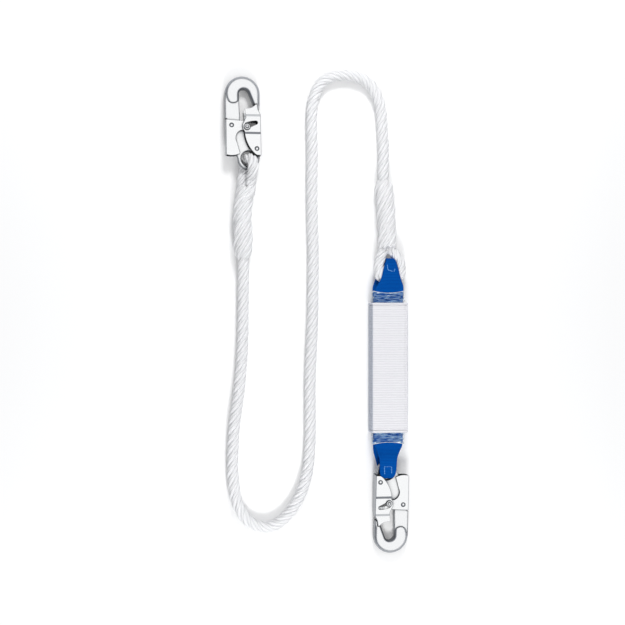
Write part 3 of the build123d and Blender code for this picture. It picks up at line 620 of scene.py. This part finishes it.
def cover_skin():
    """Woven sleeve: a profile of hems, ribs and lining, carried round a superellipse in X and Z.

    Along the sleeve, ribs rise as |sin(pi n t)| to the power 0.7 and a hem as sqrt(1 - |s| to the power
    2.4). Each point is the outline's point, moved out by its rise square to the outline.
    """
    half_wide = PACK_WIDTH / 2 + FULL_SIDE
    outline, girth = rounded_frame(200, half_wide - RIB_ROOT, PACK_HEIGHT / 2 - RIB_ROOT, 10.0)
    from_selvedge = (outline[:, 0] - (half_wide - SELVEDGE)) / SELVEDGE_WIDE
    outline[:, 1] -= np.where(outline[:, 1] > 0, SELVEDGE_DEEP * np.exp(-(from_selvedge**2)), 0)
    ahead = np.roll(outline, -1, axis=0) - np.roll(outline, 1, axis=0)
    outward = unit(np.stack([ahead[:, 1], -ahead[:, 0]], -1))
    ribs = round((PACK_LENGTH - 2 * HEM) / RIB_PITCH)
    rib_run = np.linspace(0, 1, ribs * 4 + 1)[1:-1]
    rib_out = RIB_RISE * np.abs(np.sin(math.pi * ribs * rib_run)) ** 0.7 - RIB_ROOT
    rib_y = PACK_TOP - HEM - rib_run * (PACK_LENGTH - 2 * HEM)
    hem_round = np.linspace(-1, 1, 9)
    hem_out = HEM_RISE * np.sqrt(1 - np.abs(hem_round) ** 2.4) - HEM_ROOT
    hem_y = HEM / 2 + hem_round * HEM / 2
    out = np.concatenate([hem_out, rib_out, hem_out, np.full(LINING_ROWS, -LINING)])[:, None]
    y = np.concatenate([
        PACK_TOP - hem_y, rib_y, PACK_END + HEM - hem_y,
        np.linspace(PACK_END + LINING_SHORT, PACK_TOP - LINING_SHORT, LINING_ROWS),
    ])
    x = PACK_X + outline[:, 0] + outward[:, 0] * out
    z = PACK_MID + outline[:, 1] + outward[:, 1] * out
    rings = np.stack([x, np.broadcast_to(y[:, None], x.shape), z], -1)
    return mesh_grid(rings, np.linspace(0, girth, len(outline) + 1), np.append(y, y[0]), closed=True)


piece("pack_cover", [cover_skin()], COVER_RIB, "white_webbing", "cover")

FLAP = box_mm("film")[1][1] - pack_high[1]  # the film reaches this far past the pack
FILM_POINTS = 96
FLAP_ROWS, BODY_ROWS = 22, 40
FILM_WALL = 0.35
FILM_GIRTH = 130.0
FLAP_HALF = 4.2  # half the film's height at its cut ends


def film_skin():
    """Shrunk sleeve: outline heights ease from the pack's to the webbing's past each end, with creases.

    Half height is b0 + (b1 - b0) s(t), where s is a smooth step, and its edge bows in at mid width.
    """
    past_end = np.linspace(1, 0, FLAP_ROWS)
    body_y = np.linspace(PACK_TOP, PACK_END, BODY_ROWS)
    y = np.concatenate([PACK_TOP + FLAP * past_end[:-1], body_y, PACK_END - FLAP * past_end[-2::-1]])
    past = np.concatenate([past_end[:-1], np.zeros(BODY_ROWS), past_end[-2::-1]])
    ease = past**2 * (3 - 2 * past)
    outline, _ = rounded_frame(FILM_POINTS, 1.0, 1.0, 5.0)
    half_wide = PACK_WIDTH / 2 - 0.2
    half_high = (PACK_HEIGHT / 2 - 2.0) * (1 - ease) + FLAP_HALF * ease
    y, past = y[:, None], past[:, None]
    across = outline[None, :, 0] * half_wide
    crease = 0.3 * past * np.sin(across * 0.55 + y * 0.31) * np.cos(y * 0.43 + across * 0.2)
    z = PACK_MID + outline[None, :, 1] * half_high[:, None] + crease
    way = np.where(y > PACK_TOP - PACK_LENGTH / 2, 1.0, -1.0)
    bow = 2.6 * (1 - (across / half_wide) ** 2) * past**3
    rings = np.stack([np.broadcast_to(PACK_X + across, z.shape), y - way * bow, z], -1)
    inner = rings + FILM_WALL * unit(([PACK_X, 0, PACK_MID] - rings) * [1, 0, 1])
    y = y[:, 0]
    return mesh_grid(
        np.concatenate([rings, inner[::-1]]), np.linspace(0, FILM_GIRTH, FILM_POINTS + 1),
        np.concatenate([y, y[::-1], y[:1]]), closed=True,
    )


piece("shrunk_film", [film_skin()], shrunk_vinyl(PACK_TOP + FLAP, PACK_END - FLAP), "clear_film", "film")


# ---------------------------------------------------------------- absorber's webbing
def eased(points, count):
    """Smooth line through a webbing's corner points: corners cut four times over, then spaced evenly."""
    line = np.asarray(points, float)
    for _ in range(4):
        ahead = line[:-1] * 0.75 + line[1:] * 0.25
        behind = line[:-1] * 0.25 + line[1:] * 0.75
        line = np.concatenate([line[:1], np.stack([ahead, behind], 1).reshape(-1, line.shape[1]), line[-1:]])
    along = distances(line[:, :3])
    even = np.linspace(0, along[-1], count)
    return np.stack([np.interp(even, along, line[:, axis]) for axis in range(line.shape[1])], -1)


BAND_POINTS = 40
WEBBING_HALF = 19.6  # half the webbing's width
LOOP_THICK, FOLDS_THICK = 2.6, 2.0
FOLD_WAVES = 9.0  # radians of the gathered webbing's waves, from its middle to its edge


def band(rows, thick, fold=0.0):
    """Skin of a flat webbing along rows of (x, y, z, half width, dip).

    The section is a flat oval: across is w cos(t), and height is half the thickness times sin(t) to a low
    power, so that the edges are round. The middle dips away from the edges by the row's dip, and
    the fold raises long waves where the webbing is gathered.
    """
    line, half, dip = rows[:, :3], rows[:, 3], rows[:, 4]
    ahead = unit(np.gradient(line, axis=0))
    side = np.broadcast_to([1.0, 0, 0], line.shape)
    normal = np.cross(side, ahead)
    turn = np.linspace(0, 2 * math.pi, BAND_POINTS, endpoint=False)
    across = signed_power(np.cos(turn), 0.55)
    rise = thick / 2 * signed_power(np.sin(turn), 0.45)
    gather = np.clip(1 - half / (WEBBING_HALF * 1.02), 0, 1)[:, None]
    bend = dip[:, None] * (across[None] ** 2 - 0.4) + fold * gather * np.cos(across[None] * FOLD_WAVES)
    rings = line[:, None] + (across[None] * half[:, None])[..., None] * side[:, None]
    rings = rings + (rise[None] + bend)[..., None] * normal[:, None]
    return skin(rings, np.append(across, across[0]) * WEBBING_HALF, distances(line))


PLY = 1.7  # each ply of a loop's tail lies this far above or below the pack's middle
upper_z, lower_z = PACK_MID + PLY, PACK_MID - PLY
LOOP_TAIL = 32.0  # length of a loop's tails inside the pack
LOOP_MOUTH = 4.0  # they stay flat this far past the pack's end


def loop_rows(end_y, way, turn):
    """Rows of a loop: out of the pack's end on the upper ply, round its turn and in on the lower ply."""
    inside, outside = end_y - way * LOOP_TAIL, end_y + way * LOOP_MOUTH
    return eased([
        (PACK_X, inside, upper_z, WEBBING_HALF, 0.0), (PACK_X, outside, upper_z, WEBBING_HALF, 0.0), *turn,
        (PACK_X, outside, lower_z, WEBBING_HALF, 0.0), (PACK_X, inside, lower_z, WEBBING_HALF, 0.0),
    ], 220)


link_rows = loop_rows(PACK_TOP, 1, [
    (95.0, 33.5, upper_z + 0.5, 19.6, 0.4), (96.4, 40.5, 18.6, 17.6, -0.6), (96.4, 47.8, 21.8, 13.7, -1.4),
    (96.3, 54.5, 22.7, 11.9, -1.4), (96.3, 65.0, 22.2, 9.5, -1.2), (96.5, 73.8, 20.6, 6.7, -0.6),
    (96.4, 75.8, 13.5, 5.2, 0.0), (95.4, 73.2, 6.2, 6.2, 0.8), (93.0, 58.0, 4.8, 9.2, 1.0),
    (92.0, 46.0, 6.2, 14.6, 0.6), (92.6, 37.0, 9.6, 19.0, 0.0),
])
link_skin = band(link_rows, LOOP_THICK, 0.5)
piece("absorber_rope_loop", [link_skin], ROYAL_WEB, "blue_webbing", "link_loop")

harness_rows = loop_rows(PACK_END, -1, [
    (94.6, -169.0, upper_z + 0.6, 18.9, 0.4), (93.0, -177.0, 20.0, 15.0, -0.8),
    (91.8, -186.0, 25.2, 11.6, -1.4), (91.2, -198.0, 26.2, 11.3, -1.2), (91.1, -206.0, 25.6, 10.4, -0.8),
    (91.2, -210.4, 23.6, 7.4, -0.2), (91.3, -210.6, 17.6, 6.2, 0.0), (91.2, -208.6, 10.6, 7.4, 0.8),
    (89.8, -197.0, 8.8, 9.0, 0.8), (89.8, -186.0, 8.8, 12.0, 0.8), (92.0, -175.0, 9.8, 17.6, 0.2),
])
harness_skin = band(harness_rows, LOOP_THICK, 0.4)
piece("harness_hook_loop", [harness_skin], ROYAL_WEB, "blue_webbing", "harness_loop")


def serpentine(start_z, pitch, layers, length):
    """Rows of a webbing folded to and fro: straight layers a pitch apart, joined by half circles."""
    middle = PACK_TOP - PACK_LENGTH / 2
    rows = []
    for layer in range(layers):
        way = 1 if layer % 2 == 0 else -1
        z = start_z + layer * pitch
        rows += [(PACK_X, middle + way * length / 2, z), (PACK_X, middle - way * length / 2, z)]
        if layer < layers - 1:
            turn = np.linspace(0, math.pi, 9)[1:-1]
            y = middle - way * (length / 2 + abs(pitch) / 2 * np.sin(turn))
            rows += zip(np.full(len(turn), PACK_X), y, z + pitch * (1 - np.cos(turn)) / 2)
    rows = np.array(rows)
    return np.concatenate([rows, np.full((len(rows), 1), WEBBING_HALF), np.zeros((len(rows), 1))], 1)


TEAR_PITCH, STRAP_PITCH = 2.55, 2.6
TEAR_LAYERS, STRAP_LAYERS = 3, 2
tear_low, tear_high = box_mm("upper_tear_webbing")
strap_low, strap_high = box_mm("backup_strap")
tear_run = tear_high[1] - tear_low[1] - TEAR_PITCH
strap_run = strap_high[1] - strap_low[1] - STRAP_PITCH
upper_first = tear_low[2] + 1.1  # the middle of the lowest layer above the loops' tails
lower_first = 2 * PACK_MID - upper_first
strap_first = PACK_MID - STRAP_PITCH / 2
for folded, solid, folds in (
    ("upper_tear_folds", "upper_tear_webbing", (upper_first, TEAR_PITCH, TEAR_LAYERS, tear_run)),
    ("lower_tear_folds", "lower_tear_webbing", (lower_first, -TEAR_PITCH, TEAR_LAYERS, tear_run)),
    ("backup_strap_folds", "backup_strap", (strap_first, STRAP_PITCH, STRAP_LAYERS, strap_run)),
):
    piece(folded, [band(serpentine(*folds), FOLDS_THICK)], TEAR_WEB, "tear_webbing", solid)


# ---------------------------------------------------------------- stitching
def seam(corners, step, long, thick):
    """Stitches along a line: each is an ellipsoid long by thick, lying on the line and half sunk."""
    line = np.asarray(corners, float)
    along = distances(line)
    places = np.arange(step / 2, along[-1], step)
    middle = np.stack([np.interp(places, along, line[:, axis]) for axis in range(3)], -1)
    behind = np.stack([np.interp(places - 0.2, along, line[:, axis]) for axis in range(3)], -1)
    ahead = unit(middle - behind)
    side = unit(np.cross(ahead, UP))
    top = np.cross(side, ahead)
    polar, turn = np.meshgrid(
        np.linspace(0.12, math.pi - 0.12, 7), np.linspace(0, 2 * math.pi, 8, endpoint=False), indexing="ij"
    )
    lengthwise = (long / 2 * np.cos(polar))[..., None]
    sideways = (thick / 2 * np.sin(polar) * np.cos(turn))[..., None]
    upwards = (thick / 2 * np.sin(polar) * np.sin(turn))[..., None]
    return [
        skin(place + lengthwise * way + sideways * beside + upwards * above, np.linspace(0, 2, 9),
             np.linspace(0, long, 7))
        for place, way, beside, above in zip(middle, ahead, side, top)
    ]


def on_top(corners, surface):
    """Stitch line on a webbing: points 1 mm apart between corners (x, y), as high as the surface there."""
    line = np.asarray(corners, float)
    along = distances(line)
    places = np.arange(0, along[-1], 1.0)
    flat = np.stack([np.interp(places, along, line[:, axis]) for axis in (0, 1)], -1)
    near = (np.abs(surface[None, :, :2] - flat[:, None]) < 1.6).all(-1)
    high = np.where(near, surface[None, :, 2], -1).max(axis=1)
    return np.concatenate([flat, high[:, None]], 1)


STITCH_STEP, STITCH_LONG, STITCH_THICK = 2.2, 1.9, 1.1
link_sewn = [(91.0, 67.8), (91.6, 61.2), (99.6, 58.4), (101.6, 63.4)]
harness_sewn = [(86.6, -205.6), (86.2, -196.0), (95.8, -196.0), (96.0, -205.6)]
for stitching, webbing, sewn in (
    ("absorber_loop_stitching", link_skin, link_sewn), ("harness_loop_stitching", harness_skin, harness_sewn)
):
    stitches = seam(on_top(sewn, webbing[0]), STITCH_STEP, STITCH_LONG, STITCH_THICK)
    piece(stitching, stitches, PALE_THREAD, "blue_webbing")


# ---------------------------------------------------------------- hooks
for hook in ("anchor", "harness"):
    for part, finish in (
        ("hook_body", FORGED_ZINC), ("gate", SHEET_ZINC), ("lever", SHEET_ZINC), ("gate_rivet", RIVET_ZINC),
        ("lever_rivet", RIVET_ZINC), ("lock_pin", RIVET_ZINC), ("gate_spring", SPRING_WIRE),
        ("lever_spring", SPRING_WIRE),
    ):
        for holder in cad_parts[f"{hook}_{part}"].material_slots:
            holder.material = finish


# ---------------------------------------------------------------- floor and light
FLOOR_LIFT = 0.1  # share of white that the floor adds for the camera and for shiny surfaces
FLOOR_HALF = 6  # half the floor's width, in metres
FLOOR_DROP = 0.0002  # it lies this far under the lanyard, in metres


def floor_material():
    """Matt white floor that the camera and shiny surfaces see as white where it is lit."""
    made, tree, shader = new_material("matt_white_floor")
    seen = add(tree, "ShaderNodeLightPath")
    either = seen.outputs["Is Camera Ray"]
    for kind in ("Is Glossy Ray", "Is Transmission Ray"):
        either = add(
            tree, "ShaderNodeMath", {0: either, 1: seen.outputs[kind]}, operation="MAXIMUM"
        ).outputs[0]
    lift = add(tree, "ShaderNodeMath", {0: either, 1: FLOOR_LIFT}, operation="MULTIPLY").outputs[0]
    tree.links.new(lift, shader.inputs["Emission Strength"])
    shader.inputs["Emission Color"].default_value = linear("#FFFFFF")
    shader.inputs["Base Color"].default_value = linear("#F4F4F4")
    shader.inputs["Roughness"].default_value = 1.0
    shader.inputs["Specular IOR Level"].default_value = 0.0
    return made


floor_mesh = bpy.data.meshes.new("floor")
floor_mesh.from_pydata(
    [(x * FLOOR_HALF, y * FLOOR_HALF, 0) for x, y in ((-1, -1), (1, -1), (1, 1), (-1, 1))], [], [(0, 1, 2, 3)]
)
floor_mesh.materials.append(floor_material())
floor = bpy.data.objects.new("floor", floor_mesh)
bpy.context.scene.collection.objects.link(floor)
floor.location.z = -FLOOR_DROP

ROOM_LIGHT = 0.74  # strength of the room's light, but for what shiny surfaces mirror
world = bpy.data.worlds.new("world")
bpy.context.scene.world = world
world.use_nodes = True
world_tree = world.node_tree
world_tree.nodes.clear()
rays = add(world_tree, "ShaderNodeLightPath")
sky_way = add(world_tree, "ShaderNodeTexCoord").outputs["Generated"]
sky_height = add(world_tree, "ShaderNodeSeparateXYZ", {"Vector": sky_way}).outputs["Z"]
soft_room = add(world_tree, "ShaderNodeValToRGB", {"Fac": sky_height}, stops=[
    (0.0, "#4A4C50"), (0.35, "#85888D"), (0.6, "#C2C4C8"), (0.8, "#F0F1F2"), (0.9, "#FFFFFF"),
]).outputs["Color"]
strength = add(world_tree, "ShaderNodeMapRange", {
    "Value": rays.outputs["Is Glossy Ray"], "To Min": ROOM_LIGHT, "To Max": 1.0,
}).outputs["Result"]
room = add(world_tree, "ShaderNodeBackground", {"Color": soft_room, "Strength": strength})
plain = add(world_tree, "ShaderNodeBackground", {"Color": linear("#FFFFFF"), "Strength": 1.0})
shown = add(world_tree, "ShaderNodeMixShader", {
    0: rays.outputs["Is Camera Ray"], 1: room.outputs[0], 2: plain.outputs[0],
})
add(world_tree, "ShaderNodeOutputWorld", {"Surface": shown.outputs[0]})

LAMP_SIZE, LAMP_POWER = 0.3, 7.4  # metres and watts


def panel(name, location):
    """Square soft light that faces the lanyard's middle. The metal mirrors the room and not the lamps."""
    data = bpy.data.lights.new(name, "AREA")
    data.shape = "SQUARE"
    data.size = LAMP_SIZE
    data.energy = LAMP_POWER
    made = bpy.data.objects.new(name, data)
    bpy.context.scene.collection.objects.link(made)
    made.location = location
    made.rotation_euler = (-Vector(location)).to_track_quat("-Z", "Y").to_euler()
    made.visible_glossy = False


panel("key_far", (0.0, 1.0, 0.8))
panel("key_near", (0.0, -1.0, 0.8))

bpy.context.scene.view_settings.view_transform = "Standard"
